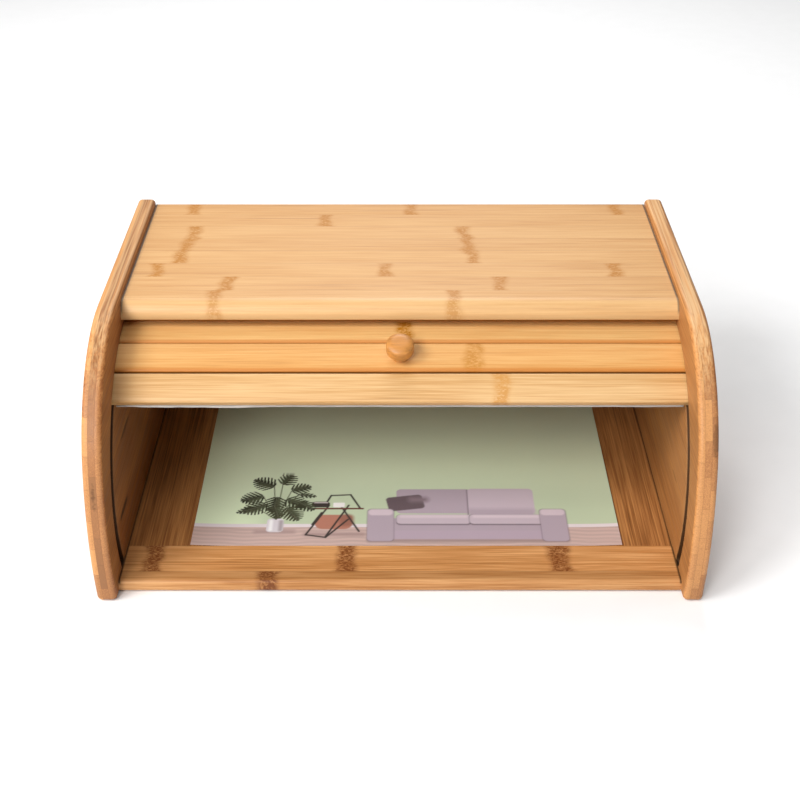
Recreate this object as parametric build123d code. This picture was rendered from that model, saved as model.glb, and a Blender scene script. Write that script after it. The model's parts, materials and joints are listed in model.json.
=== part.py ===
# Bread box with a roll top: two D-shaped side panels, a slatted door on canvas that slides round in them.
# Units mm. X is the width, the mouth faces -Y, +Z is up, Z = 0 is the table.
import os
from math import acos, asin, atan2, cos, degrees, radians, sin, sqrt
from build123d import *

# ---- overall ----
overall_width = 400.0
overall_depth = 280.0
overall_height = 169.0
panel_thickness = 13.0
rim_rounding = 3.2
corner_rounding = 4.0

# ---- outline of a side panel: flat top, shoulder arc, front arc ----
shoulder_radius = 102.0
front_radius = 192.0
front_arc_height = 40.0

# ---- top board ----
board_thickness = 12.0
board_depth = 167.0
board_below_rim = 5.0
board_nose_rounding = 10.0
board_edge_rounding = 1.2

# ---- back panel, floor board and front lip ----
back_thickness = 8.0
back_inset = 5.0
back_above_table = 2.0
floor_thickness = 5.0
floor_below_lip = 1.0
lip_top_height = 9.4
lip_thickness = 9.0
lip_depth = 39.0
lip_from_front = 13.5
lip_rounding = 3.0
housing_depth = 4.0
housing_clearance = 0.15
seam = 0.02

# ---- curved track ----
track_from_front = 125.0
track_centre_height = 44.0
track_slack = 0.4
groove_depth = 6.0
slat_end_gap = 1.0
groove_end_gap_deg = 1.2

# ---- slats, counted from the bottom rail ----
slat_outer_distance = 101.3
slat_thickness = 7.4
slat_count = 7
slat_pitch_deg = 14.0
rail_pitch_deg = 12.5
rail_low_edge_deg = 49.2
slat_gap = 0.6
rail_gap = 1.6
slat_edge_rounding = 0.9
rail_edge_rounding = 1.6
close_travel_deg = 68.5
open_travel_deg = 9.0

# ---- canvas ----
canvas_thickness = 0.6
canvas_side_gap = 1.5
canvas_hem = 2.0

# ---- knob ----
knob_slat = 2
knob_head_diameter = 18.4
knob_neck_diameter = 11.0
knob_waist = 0.9
knob_height = 15.0
knob_head_height = 9.4
knob_edge_rounding = 2.2
knob_dome = 1.0
knob_screw_diameter = 3.5
knob_screw_bite = 9.0
knob_screw_head_diameter = 7.0
knob_screw_head_height = 2.2

# ---- case screws and dowels ----
screw_diameter = 4.0
screw_head_diameter = 8.0
screw_head_height = 2.4
screw_length = 40.0
screw_hole_clearance = 0.1
screw_recess_width = 0.9
screw_recess_span = 4.2
screw_recess_depth = 1.3
dowel_diameter = 6.0
dowel_length = 30.0
dowel_in_panel = 8.0
dowel_end_gap = 0.5
board_screw_from_ends = 28.0
board_dowel_from_screw = 22.0
lip_screw_from_front = 9.0
lip_dowel_from_back = 9.0
back_screw_height = 80.0

# ---- printed leaflet ----
leaflet_width = 297.0
leaflet_depth = 210.0
leaflet_thickness = 0.3
leaflet_from_lip = 1.0
leaflet_off_centre = 4.3

# ---- derived ----
front_y = -overall_depth / 2
back_y = overall_depth / 2
inner_half = overall_width / 2 - panel_thickness
board_top = overall_height - board_below_rim
board_low = board_top - board_thickness
lip_front_y = front_y + lip_from_front
lip_back_y = lip_front_y + lip_depth
lip_low = lip_top_height - lip_thickness
floor_top = lip_top_height - floor_below_lip
floor_low = floor_top - floor_thickness
back_face_y = back_y - back_inset - back_thickness
track_y = front_y + track_from_front
track_z = track_centre_height
slat_inner_distance = slat_outer_distance - slat_thickness
half_pitch = slat_pitch_deg / 2
slat_corner_radius = slat_outer_distance / cos(radians(half_pitch))
groove_outer = slat_corner_radius + track_slack
groove_inner = slat_inner_distance - track_slack
top_edge_deg = rail_low_edge_deg + rail_pitch_deg + slat_count * slat_pitch_deg
groove_low_deg = rail_low_edge_deg - close_travel_deg - groove_end_gap_deg
groove_high_deg = top_edge_deg + open_travel_deg + groove_end_gap_deg
slat_half_length = inner_half + groove_depth - slat_end_gap
knob_deg = rail_low_edge_deg + rail_pitch_deg + (knob_slat - 1.5) * slat_pitch_deg


def on_track(radius, angle):
    # point (y, z) at an angle above the horizontal towards the mouth, about the track's centre
    return (track_y - radius * cos(radians(angle)), track_z + radius * sin(radians(angle)))


def along_x(profile, x_low, x_high):
    # solid with the given (y, z) face, between two X planes
    face = Plane.YZ.offset(x_low) * profile
    return extrude(face, amount=x_high - x_low, dir=(1, 0, 0))


def block(x_low, x_high, y_low, y_high, z_low, z_high):
    size = Box(x_high - x_low, y_high - y_low, z_high - z_low)
    return Pos((x_low + x_high) / 2, (y_low + y_high) / 2, (z_low + z_high) / 2) * size


def rod_x(x_low, x_high, y, z, radius, radius_high=None):
    # round bar or cone along +X
    end = radius if radius_high is None else radius_high
    at = Plane(origin=(x_low, y, z), z_dir=(1, 0, 0))
    if abs(end - radius) < 1e-9:
        return at * Cylinder(radius, x_high - x_low, align=(Align.CENTER, Align.CENTER, Align.MIN))
    return at * Cone(radius, end, x_high - x_low, align=(Align.CENTER, Align.CENTER, Align.MIN))


def panel_profile():
    front_centre = (front_y + front_radius, front_arc_height)
    shoulder_z = overall_height - shoulder_radius
    rise = shoulder_z - front_arc_height
    reach = sqrt((front_radius - shoulder_radius) ** 2 - rise ** 2)
    shoulder_centre = (front_centre[0] - reach, shoulder_z)
    join_deg = degrees(atan2(rise, reach))

    def spot(centre, radius, angle):
        return (centre[0] - radius * cos(radians(angle)), centre[1] + radius * sin(radians(angle)))

    foot_deg = -degrees(asin(front_arc_height / front_radius))
    top_start = (shoulder_centre[0], overall_height)
    join = spot(front_centre, front_radius, join_deg)
    foot = spot(front_centre, front_radius, foot_deg)
    shoulder_mid = spot(shoulder_centre, shoulder_radius, (90 + join_deg) / 2)
    front_mid = spot(front_centre, front_radius, (join_deg + foot_deg) / 2)
    edges = [
        Line((back_y, 0), (back_y, overall_height)),
        Line((back_y, overall_height), top_start),
        ThreePointArc(top_start, shoulder_mid, join),
        ThreePointArc(join, front_mid, foot),
        Line(foot, (back_y, 0)),
    ]
    return make_face(edges)


def groove_profile():
    mid = (groove_inner + groove_outer) / 2
    half = (groove_outer - groove_inner) / 2
    centre_deg = (groove_low_deg + groove_high_deg) / 2
    beyond = degrees(half / mid)
    low_out = on_track(groove_outer, groove_low_deg)
    low_in = on_track(groove_inner, groove_low_deg)
    high_out = on_track(groove_outer, groove_high_deg)
    high_in = on_track(groove_inner, groove_high_deg)
    edges = [
        ThreePointArc(low_out, on_track(groove_outer, centre_deg), high_out),
        ThreePointArc(high_out, on_track(mid, groove_high_deg + beyond), high_in),
        ThreePointArc(high_in, on_track(groove_inner, centre_deg), low_in),
        ThreePointArc(low_in, on_track(mid, groove_low_deg - beyond), low_out),
    ]
    return make_face(edges)


def case_screw_places():
    # (y, z) of each screw through a side panel
    return [
        (back_y - board_screw_from_ends, (board_top + board_low) / 2),
        (back_y - board_depth + board_screw_from_ends, (board_top + board_low) / 2),
        (lip_front_y + lip_screw_from_front, (lip_top_height + lip_low) / 2),
        (back_face_y + back_thickness / 2, back_screw_height),
    ]


def dowel_places():
    # (y, z) of each dowel between a side panel and a board
    return [
        (back_y - board_screw_from_ends - board_dowel_from_screw, (board_top + board_low) / 2),
        (back_y - board_depth + board_screw_from_ends + board_dowel_from_screw, (board_top + board_low) / 2),
        (lip_back_y - lip_dowel_from_back, (lip_top_height + lip_low) / 2),
    ]


def screw_body(y, z, grow=0.0, recess=True):
    # countersunk screw entering the right-hand panel from its outer face, pointing to -X
    outer = overall_width / 2
    shank = rod_x(outer - screw_length, outer, y, z, screw_diameter / 2 + grow)
    tip_radius = screw_diameter / 2 + grow
    head = rod_x(outer - screw_head_height, outer, y, z, tip_radius, screw_head_diameter / 2 + grow)
    body = shank + head
    if recess:
        low = outer - screw_recess_depth
        for span_y, span_z in ((screw_recess_span, screw_recess_width), (screw_recess_width, screw_recess_span)):
            body -= block(low, outer + 1, y - span_y / 2, y + span_y / 2, z - span_z / 2, z + span_z / 2)
    return body


def dowel_body(y, z, end_gap=0.0):
    low = inner_half + dowel_in_panel - dowel_length - end_gap
    return rod_x(low, inner_half + dowel_in_panel + end_gap, y, z, dowel_diameter / 2)


def side_panel():
    # right-hand panel; the left-hand one is its mirror image
    panel = along_x(panel_profile(), inner_half, overall_width / 2)
    across = panel.edges().filter_by(Axis.X)
    back_corners = across.group_by(Axis.Y)[-1]
    foot_corner = across.group_by(Axis.Z)[0].sort_by(Axis.Y)[0]
    panel = fillet(list(back_corners) + [foot_corner], corner_rounding)
    rim = [e for f in panel.faces().filter_by(Axis.X) for e in f.edges()]
    panel = fillet(rim, rim_rounding)
    panel -= along_x(groove_profile(), inner_half - 1, inner_half + groove_depth)
    c = housing_clearance
    deep = inner_half + housing_depth + c
    panel -= block(inner_half - 1, deep, lip_back_y, back_face_y + 1, floor_low - c, floor_top + c)
    panel -= block(inner_half - 1, deep, back_face_y - c, back_face_y + back_thickness + c,
                   back_above_table - c, board_low)
    for y, z in case_screw_places():
        panel -= screw_body(y, z, screw_hole_clearance, recess=False)
    for y, z in dowel_places():
        panel -= dowel_body(y, z, dowel_end_gap)
    return panel


def mirrored(body):
    return mirror(body, about=Plane.YZ)


def both_sides(body):
    return [body, mirrored(body)]


def drilled(board, screws, dowels):
    for y, z in screws:
        for hole in both_sides(screw_body(y, z, 0.0, recess=False)):
            board -= hole
    for y, z in dowels:
        for hole in both_sides(dowel_body(y, z, dowel_end_gap)):
            board -= hole
    return board


def top_board():
    half = inner_half - seam
    board = block(-half, half, back_y - board_depth, back_y, board_low, board_top)
    long_edges = board.edges().filter_by(Axis.X)
    nose = long_edges.group_by(Axis.Y)[0].sort_by(Axis.Z)[-1]
    board = fillet(nose, board_nose_rounding)
    rest = board.edges().filter_by(Axis.X)
    low_front = rest.group_by(Axis.Z)[0].sort_by(Axis.Y)[0]
    back_edges = rest.group_by(Axis.Y)[-1]
    board = fillet([low_front] + list(back_edges), board_edge_rounding)
    return drilled(board, case_screw_places()[:2], dowel_places()[:2])


def back_panel():
    half = inner_half + housing_depth
    panel = block(-half, half, back_face_y, back_face_y + back_thickness, back_above_table, board_low - seam)
    c = housing_clearance
    panel -= block(-half - 1, half + 1, back_face_y - 1, back_face_y + housing_depth + c,
                   floor_low - c, floor_top + c)
    return drilled(panel, case_screw_places()[3:], [])


def floor_board():
    half = inner_half + housing_depth
    return block(-half, half, lip_back_y + seam, back_face_y + housing_depth, floor_low, floor_top)


def front_lip():
    half = inner_half - seam
    lip = block(-half, half, lip_front_y, lip_back_y, lip_low, lip_top_height)
    long_edges = lip.edges().filter_by(Axis.X)
    front = long_edges.group_by(Axis.Y)[0]
    lip = fillet(front, lip_rounding)
    back_top = lip.edges().filter_by(Axis.X).group_by(Axis.Y)[-1].sort_by(Axis.Z)[-1]
    lip = fillet(back_top, floor_below_lip * 0.8)
    return drilled(lip, case_screw_places()[2:3], dowel_places()[2:])


def case_screws():
    return [s for y, z in case_screw_places() for s in both_sides(screw_body(y, z))]


def case_dowels():
    return [d for y, z in dowel_places() for d in both_sides(dowel_body(y, z))]


def leaflet():
    front = lip_back_y + leaflet_from_lip
    low_x = leaflet_off_centre - leaflet_width / 2
    return block(low_x, low_x + leaflet_width, front, front + leaflet_depth,
                 floor_top + seam, floor_top + seam + leaflet_thickness)


def slat(low_deg, high_deg, low_gap, high_gap, rounding):
    # flat strip whose long edges lie on the two joint planes, each set back by half the joint's gap
    middle = (low_deg + high_deg) / 2
    half = radians((high_deg - low_deg) / 2)

    def corner(distance, side, gap):
        along = distance * sin(half) / cos(half) - gap / 2
        m = radians(middle)
        y = track_y - distance * cos(m) + side * along * sin(m)
        z = track_z + distance * sin(m) + side * along * cos(m)
        return (y, z)

    points = [
        corner(slat_inner_distance, -1, low_gap),
        corner(slat_outer_distance, -1, low_gap),
        corner(slat_outer_distance, 1, high_gap),
        corner(slat_inner_distance, 1, high_gap),
    ]
    body = along_x(make_face(Polyline(*points, close=True)), -slat_half_length, slat_half_length)

    def far(edge):
        p = edge.center()
        return (p.Y - track_y) ** 2 + (p.Z - track_z) ** 2

    outer = sorted(body.edges().filter_by(Axis.X), key=far)[-2:]
    return fillet(outer, rounding)


def bottom_rail():
    high = rail_low_edge_deg + rail_pitch_deg
    return slat(rail_low_edge_deg, high, 0.0, rail_gap, rail_edge_rounding)


def door_slat(number):
    # number 2 is next to the bottom rail
    low = rail_low_edge_deg + rail_pitch_deg + (number - 2) * slat_pitch_deg
    low_gap = rail_gap if number == 2 else slat_gap
    body = slat(low, low + slat_pitch_deg, low_gap, slat_gap, slat_edge_rounding)
    if number == knob_slat:
        body -= knob_axis(slat_inner_distance - 1) * Cylinder(
            knob_screw_diameter / 2, slat_thickness + 3, align=(Align.CENTER, Align.CENTER, Align.MIN))
    return body


def knob_axis(distance):
    y, z = on_track(distance, knob_deg)
    m = radians(knob_deg)
    return Plane(origin=(0, y, z), x_dir=(1, 0, 0), z_dir=(0, -cos(m), sin(m)))


def canvas_backing():
    # strip under the slats with a fold between each two and a hem past the bottom rail
    middles = [rail_low_edge_deg + rail_pitch_deg / 2]
    middles += [rail_low_edge_deg + rail_pitch_deg + (n + 0.5) * slat_pitch_deg for n in range(slat_count)]

    def corners(distance):
        low = on_track(distance / cos(radians(rail_pitch_deg / 2)), rail_low_edge_deg)
        m = radians(middles[0])
        at = [(low[0] - canvas_hem * sin(m), low[1] - canvas_hem * cos(m))]
        for one, two in zip(middles, middles[1:]):
            at.append(on_track(distance / cos(radians((two - one) / 2)), (one + two) / 2))
        at.append(on_track(distance / cos(radians(half_pitch)), top_edge_deg))
        return at

    outer = corners(slat_inner_distance - seam)
    inner = corners(slat_inner_distance - seam - canvas_thickness)
    face = make_face(Polyline(*(outer + inner[::-1]), close=True))
    half_width = inner_half - canvas_side_gap
    body = along_x(face, -half_width, half_width)
    body -= knob_axis(slat_inner_distance - 2) * Cylinder(
        knob_screw_diameter / 2 + 0.1, 3, align=(Align.CENTER, Align.CENTER, Align.MIN))
    return body


def knob():
    # turned knob: waisted neck under a thick round head with a slightly domed top
    neck = knob_neck_diameter / 2
    head = knob_head_diameter / 2
    low_head = knob_height - knob_head_height
    side_low = low_head + knob_edge_rounding
    side_high = knob_height - knob_dome - knob_edge_rounding
    profile = make_face([
        Line((0, 0), (neck, 0)),
        Spline((neck, 0), (neck - knob_waist, low_head * 0.45), (head * 0.8, low_head), (head, side_low),
               tangents=[(-0.4, 1), (0, 1)]),
        Line((head, side_low), (head, side_high)),
        Spline((head, side_high), (head - knob_edge_rounding * 0.7, knob_height - knob_dome),
               (0, knob_height), tangents=[(0, 1), (-1, 0)]),
        Line((0, knob_height), (0, 0)),
    ])
    body = revolve(Plane.XZ * profile, Axis.Z)
    body -= Cylinder(knob_screw_diameter / 2, knob_screw_bite, align=(Align.CENTER, Align.CENTER, Align.MIN))
    return knob_axis(slat_outer_distance + seam) * body


def knob_screw():
    # round-headed screw put in from behind the canvas
    grip = slat_thickness + canvas_thickness + 2 * seam
    shank = Cylinder(knob_screw_diameter / 2, grip + knob_screw_bite - 1,
                     align=(Align.CENTER, Align.CENTER, Align.MIN))
    head = Cylinder(knob_screw_head_diameter / 2, knob_screw_head_height,
                    align=(Align.CENTER, Align.CENTER, Align.MAX))
    low_edge = head.edges().group_by(Axis.Z)[0]
    head = fillet(low_edge, knob_screw_head_height * 0.45)
    body = shank + head
    slot_depth = knob_screw_head_height * 0.45
    slot = Box(knob_screw_head_diameter * 0.6, screw_recess_width, slot_depth,
               align=(Align.CENTER, Align.CENTER, Align.MIN))
    cross = slot + Rot(0, 0, 90) * slot
    body -= Pos(0, 0, -knob_screw_head_height) * cross
    return knob_axis(slat_inner_distance - canvas_thickness - 2 * seam) * body


def write(name, shape):
    bodies = shape if isinstance(shape, list) else [shape]
    solids = [s for b in bodies for s in b.solids()]
    part = solids[0] if len(solids) == 1 else Compound(children=solids)
    part.label = name
    export_step(part, "parts/" + name + ".step")
    box = Compound(solids).bounding_box()
    print(name, len(solids), [round(v, 2) for v in (*box.min, *box.max)])


os.makedirs("parts", exist_ok=True)
right = side_panel()
write("side_panel_right", right)
write("side_panel_left", mirrored(right))
write("top_board", top_board())
write("back_panel", back_panel())
write("floor_board", floor_board())
write("front_lip", front_lip())
write("case_screws", case_screws())
write("case_dowels", case_dowels())
write("printed_leaflet", leaflet())
write("bottom_rail", bottom_rail())
for number in range(2, slat_count + 2):
    write("slat_" + str(number), door_slat(number))
write("canvas_backing", canvas_backing())
write("knob", knob())
write("knob_screw", knob_screw())
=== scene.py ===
import json
import math
import bmesh
import bpy
import numpy as np
from bpy.props import FloatProperty, FloatVectorProperty, PointerProperty
from mathutils import Matrix, Vector


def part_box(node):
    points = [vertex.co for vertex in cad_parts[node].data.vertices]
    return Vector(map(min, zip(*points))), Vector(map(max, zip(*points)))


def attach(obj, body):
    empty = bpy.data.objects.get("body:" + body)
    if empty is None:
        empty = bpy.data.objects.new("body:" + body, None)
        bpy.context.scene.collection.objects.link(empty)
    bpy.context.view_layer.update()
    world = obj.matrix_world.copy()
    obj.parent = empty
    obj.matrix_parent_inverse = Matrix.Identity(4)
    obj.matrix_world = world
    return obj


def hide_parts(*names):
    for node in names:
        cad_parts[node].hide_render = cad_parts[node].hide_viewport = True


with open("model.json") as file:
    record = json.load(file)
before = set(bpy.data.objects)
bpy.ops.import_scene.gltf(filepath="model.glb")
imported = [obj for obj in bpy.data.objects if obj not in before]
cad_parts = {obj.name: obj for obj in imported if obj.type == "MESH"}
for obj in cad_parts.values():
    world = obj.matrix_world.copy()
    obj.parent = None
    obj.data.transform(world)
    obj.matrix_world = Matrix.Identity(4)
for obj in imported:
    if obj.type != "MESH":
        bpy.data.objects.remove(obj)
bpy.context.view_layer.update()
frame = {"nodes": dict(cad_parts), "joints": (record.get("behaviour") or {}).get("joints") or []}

bl_info = {
    "name": "Roll-top bread box",
    "version": (1, 0, 0),
    "blender": (4, 5, 0),
    "location": "View3D > Sidebar > Bread box",
    "description": "Finishes the bamboo bread box: boards, slats, canvas, knob, screws, leaflet and stage",
    "category": "Object",
}

CASE = "case"
ROLL_TOP = "roll_top"
TRACK = Vector(frame["joints"][0]["pos_m"])
SLATS = sorted(n for n in frame["nodes"] if n.startswith("slat_"))


# ---------------------------------------------------------------- measures taken from the frame

def across_track(node):
    """A slat seen along X, in metres.

    Its middle angle, its distances from the track's centre and the two edges of its inner face.
    """
    mesh = frame["nodes"][node].data
    spots = [(TRACK.y - v.co.y, v.co.z - TRACK.z) for v in mesh.vertices]
    facing = [p for p in mesh.polygons if abs(p.normal.x) < 0.01
              and (TRACK.y - p.center.y) * -p.normal.y + (p.center.z - TRACK.z) * p.normal.z > 0]
    widest = max(facing, key=lambda p: p.area)
    middle = math.atan2(widest.normal.z, -widest.normal.y)
    c, s = math.cos(middle), math.sin(middle)
    depth = [out * c + up * s for out, up in spots]
    side = [up * c - out * s for out, up in spots]
    inner, outer = min(depth), max(depth)
    base = [t for d, t in zip(depth, side) if d < inner + 1e-5]
    return {"middle": middle, "inner": inner, "outer": outer, "low": min(base), "high": max(base)}


def islands(node):
    """The separate solids of a node, each as its lowest and highest corner."""
    mesh = bmesh.new()
    mesh.from_mesh(frame["nodes"][node].data)
    bmesh.ops.remove_doubles(mesh, verts=mesh.verts, dist=1e-6)
    found, seen = [], set()
    for start in mesh.verts:
        if start in seen:
            continue
        group, stack = [], [start]
        seen.add(start)
        while stack:
            v = stack.pop()
            group.append(v.co.copy())
            for e in v.link_edges:
                w = e.other_vert(v)
                if w not in seen:
                    seen.add(w)
                    stack.append(w)
        low = Vector([min(p[i] for p in group) for i in range(3)])
        high = Vector([max(p[i] for p in group) for i in range(3)])
        found.append((low, high))
    mesh.free()
    return found


# ---------------------------------------------------------------- small makers of nodes

class Net:
    """Adds and joins nodes in a tree."""

    def __init__(self, tree):
        self.tree = tree

    def node(self, kind, inputs=(), **settings):
        made = self.tree.nodes.new(kind)
        for name, value in settings.items():
            setattr(made, name, value)
        for name, value in dict(inputs).items():
            self.feed(made.inputs[name], value)
        return made

    def feed(self, socket, value):
        if isinstance(value, bpy.types.NodeSocket):
            self.tree.links.new(value, socket)
        else:
            socket.default_value = value

    def math(self, operation, a, b=0.0, c=0.0, clamp=False):
        made = self.node("ShaderNodeMath", operation=operation, use_clamp=clamp)
        for socket, value in zip(made.inputs, (a, b, c)):
            self.feed(socket, value)
        return made.outputs[0]

    def plus(self, a, b):
        return self.math("ADD", a, b)

    def minus(self, a, b):
        return self.math("SUBTRACT", a, b)

    def times(self, a, b, clamp=False):
        return self.math("MULTIPLY", a, b, clamp=clamp)

    def vector(self, x=0.0, y=0.0, z=0.0):
        return self.node("ShaderNodeCombineXYZ", {"X": x, "Y": y, "Z": z}).outputs[0]

    def stretched(self, place, *scales):
        """A place with each part scaled by its own number, for a pattern that is longer one way."""
        return self.vector(*(self.times(part, scale) for part, scale in zip(place, scales)))

    def parts(self, vector):
        return self.node("ShaderNodeSeparateXYZ", {"Vector": vector}).outputs

    def span(self, value, low, high, to_low=0.0, to_high=1.0, smooth=False):
        kind = "SMOOTHSTEP" if smooth else "LINEAR"
        inputs = {"Value": value, "From Min": low, "From Max": high, "To Min": to_low, "To Max": to_high}
        return self.node("ShaderNodeMapRange", inputs, interpolation_type=kind).outputs["Result"]

    def noise(self, vector, scale=1.0, detail=2.0, roughness=0.5, distortion=0.0):
        inputs = {"Vector": vector, "Scale": scale, "Detail": detail, "Roughness": roughness,
                  "Distortion": distortion}
        return self.node("ShaderNodeTexNoise", inputs).outputs[0]

    def chance(self, vector):
        made = self.node("ShaderNodeTexWhiteNoise", {"Vector": vector}, noise_dimensions="3D")
        return made.outputs["Value"]


class Finish(Net):
    """A procedural material built round one Principled surface."""

    def __init__(self, name, **fixed):
        self.material = bpy.data.materials.new(name)
        self.material.use_nodes = True
        super().__init__(self.material.node_tree)
        self.surface = self.tree.nodes["Principled BSDF"]
        for socket, value in fixed.items():
            self.surface.inputs[socket.replace("_", " ")].default_value = value

    def place(self):
        return self.node("ShaderNodeTexCoord").outputs["Object"]

    def facing(self):
        return self.parts(self.node("ShaderNodeTexCoord").outputs["Normal"])

    def attribute(self, name, output="Vector"):
        return self.node("ShaderNodeAttribute", attribute_name=name).outputs[output]

    def mix(self, factor, a, b, blend="MIX"):
        made = self.node("ShaderNodeMix", data_type="RGBA", blend_type=blend)
        for index, value in ((0, factor), (6, a), (7, b)):
            if index and not isinstance(value, bpy.types.NodeSocket):
                value = (*tuple(value)[:3], 1.0)
            self.feed(made.inputs[index], value)
        return made.outputs[2]

    def ramp(self, value, *stops):
        made = self.node("ShaderNodeValToRGB", {"Fac": value})
        marks = made.color_ramp.elements
        while len(marks) < len(stops):
            marks.new(0.5)
        for mark, (at, colour) in zip(marks, stops):
            mark.position = at
            mark.color = (*tuple(colour)[:3], 1.0)
        return made.outputs["Color"]

    def cover(self, colour, roughness=None, height=None, depth=0.0002, strength=1.0):
        self.feed(self.surface.inputs["Base Color"], colour)
        if roughness is not None:
            self.feed(self.surface.inputs["Roughness"], roughness)
        if height is not None:
            bump = self.node("ShaderNodeBump", {"Height": height, "Distance": depth, "Strength": strength})
            self.feed(self.surface.inputs["Normal"], bump.outputs["Normal"])
        return self.material


def bamboo(name, light, dark, knuckle, grain, strip, start=0.0, seed=0.0, contrast=1.0, tint=0.35,
           knuckles=(), scatter=0.0, plies=0.0, ply_tints=(), ends=0.0, gloss=0.3, ring_width=0.0032,
           washes=()):
    """Strips of bamboo glued side by side.

    grain gives places along, across and through the strips, how squarely a face cuts them and the number of
    the piece. strip is the width of one strip and start the place where they begin. plies is the thickness
    of one layer, and ply_tints lightens or darkens each. knuckles holds (piece, strip number, place along)
    of growth rings, and scatter is the chance of one elsewhere. ends is the place where the board's ends
    meet the panels, where painted shade darkens the faces that look up. washes holds pairs of a function
    giving a factor and the colour it lays over the wood, painted shade and highlights among them.
    """
    f = Finish(name, Specular_IOR_Level=gloss)
    along, across, through, cut, board = grain(f)
    cut = f.span(cut, 0.45, 0.85, smooth=True)
    long_face = f.minus(1.0, cut)
    ply = f.math("FLOOR", f.math("DIVIDE", through, plies)) if plies else 0.0
    stagger = strip * 0.41
    across_here = f.math("MULTIPLY_ADD", ply, stagger, across)
    row = f.math("DIVIDE", f.minus(across_here, start), strip)
    number = f.math("FLOOR", row)
    within = f.math("FRACT", row)
    edge = f.times(f.math("ABSOLUTE", f.minus(within, 0.5)), 2.0)
    luck = f.chance(f.vector(number, f.plus(board, seed), ply))
    shifted = f.plus(f.math("MULTIPLY_ADD", luck, 9.0, along), f.times(board, 1.7))

    def streaks(length, width, detail, roughness=0.5):
        place = f.stretched((shifted, across, through), length, width, width)
        return f.noise(place, detail=detail, roughness=roughness)

    fibre = streaks(12.0, 850.0, 3.0, 0.6)
    fleck = streaks(32.0, 1200.0, 1.0)
    vein = streaks(3.5, 210.0, 2.0)
    cloud = streaks(9.0, 30.0, 1.0)
    pores = f.noise(f.place(), 1500.0, 2.0, 0.6)
    tone = 0.5
    for wave, amount in ((fibre, 1.05), (fleck, 0.55), (vein, 0.5), (cloud, 0.45)):
        weight = f.math("MULTIPLY_ADD", cut, -0.7 * amount * contrast, amount * contrast)
        tone = f.math("MULTIPLY_ADD", f.minus(wave, 0.5), weight, tone)
    tone = f.math("MULTIPLY_ADD", f.minus(pores, 0.5), f.times(cut, 0.9), tone)
    spread = tint
    if plies:
        spread = f.span(ply, 0.0, 1.0, tint * 0.3, tint)
        for index, amount in enumerate(ply_tints):
            here = f.math("COMPARE", ply, float(index), 0.5)
            tone = f.math("MULTIPLY_ADD", here, amount, tone)
    tone = f.math("MULTIPLY_ADD", f.minus(luck, 0.5), spread, tone)
    middle = [0.5 * (one + two) for one, two in zip(light, dark)]
    colour = f.ramp(tone, (0.08, [0.66 * v for v in dark]), (0.34, dark), (0.58, middle), (0.86, light))
    colour = f.mix(f.times(cut, 0.22), colour, [0.9 * light[0], 1.15 * light[1], 1.9 * light[2]])

    # growth rings: brown dashes in a soft, swaying band across one strip, wider at the strip's edges
    dash = f.noise(f.stretched((along, across, through), 420.0, 1100.0, 200.0), detail=2.0, roughness=0.7)

    def by_strip(length, width, step, detail):
        place = f.vector(f.times(along, length), f.times(across, width),
                         f.math("MULTIPLY_ADD", number, step, board))
        return f.noise(place, detail=detail)

    sway = by_strip(35.0, 110.0, 7.3, 0.0)
    patch = by_strip(150.0, 190.0, 4.1, 1.0)
    ragged, wider, swing = 0.0035, -0.0014, 0.008
    flare = f.math("MULTIPLY_ADD", f.minus(dash, 0.5), ragged, f.span(edge, 0.70, 1.0, 0.0, wider))
    sway = f.times(f.minus(sway, 0.5), swing)
    faint, full = ring_width + 0.0042, ring_width - 0.0028

    def band(off, chosen):
        off = f.plus(f.math("ABSOLUTE", f.plus(off, sway)), flare)
        return f.times(f.span(off, faint, full, smooth=True), chosen)

    ring = 0.0
    for piece, strip_number, place in knuckles:
        chosen = f.times(f.math("COMPARE", number, float(strip_number), 0.5),
                         f.math("COMPARE", board, float(piece), 0.5))
        ring = f.math("MAXIMUM", ring, band(f.minus(along, place), chosen))
    if scatter:
        spacing = 0.19
        cell = f.math("DIVIDE", shifted, spacing)
        toss = f.chance(f.vector(number, f.math("FLOOR", cell), f.plus(f.plus(board, ply), seed)))
        off = f.times(f.minus(f.math("FRACT", cell), 0.5), spacing)
        ring = f.math("MAXIMUM", ring, band(off, f.math("LESS_THAN", toss, scatter)))
    if knuckles or scatter:
        drop = f.times(f.span(dash, 0.38, 0.56, 0.30, 1.35), f.span(patch, 0.30, 0.52, 0.55, 1.0))
        drop = f.times(f.times(drop, ring, clamp=True), long_face)
        colour = f.mix(drop, colour, knuckle)

    # glue lines between strips and plies, and painted shade in the crevice at a board's ends, on faces that
    # look up
    strip_line, ply_line, shade_from, shade_to = 0.0008, 0.0007, ends - 0.0017, ends - 0.0006
    glue = f.span(edge, 1.0 - strip_line / strip, 1.0, smooth=True)
    if plies:
        layer = f.math("FRACT", f.math("DIVIDE", through, plies))
        layer = f.times(f.math("ABSOLUTE", f.minus(layer, 0.5)), 2.0)
        glue = f.math("MAXIMUM", glue, f.span(layer, 1.0 - ply_line / plies, 1.0, smooth=True))
    colour = f.mix(f.times(glue, 0.28), colour, [0.4 * v for v in dark])
    if ends:
        # painted shade: faces that look up darken near the board's ends, where the panels meet them
        near = f.span(f.math("ABSOLUTE", along), shade_from, shade_to, smooth=True)
        up = f.span(f.facing()[2], 0.1, 0.5, 0.0, 0.9)
        colour = f.mix(f.times(near, up), colour, [0.1 * v for v in dark])
    for wash, tone in washes:
        colour = f.mix(wash(f), colour, tone)
    height = f.math("MULTIPLY_ADD", glue, -0.5, fibre)
    return f.cover(colour, f.span(vein, 0.3, 0.7, 0.42, 0.56), height, 0.0002, 0.35)


def cut_by(f, axis):
    return f.math("ABSOLUTE", f.facing()[axis])


def board_grain(*axes):
    """Grain of a board, from the axes that run along, across and through its strips."""
    def grain(f):
        place = f.parts(f.place())
        return *(place[axis] for axis in axes), cut_by(f, axes[0]), 0.0
    return grain


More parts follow.
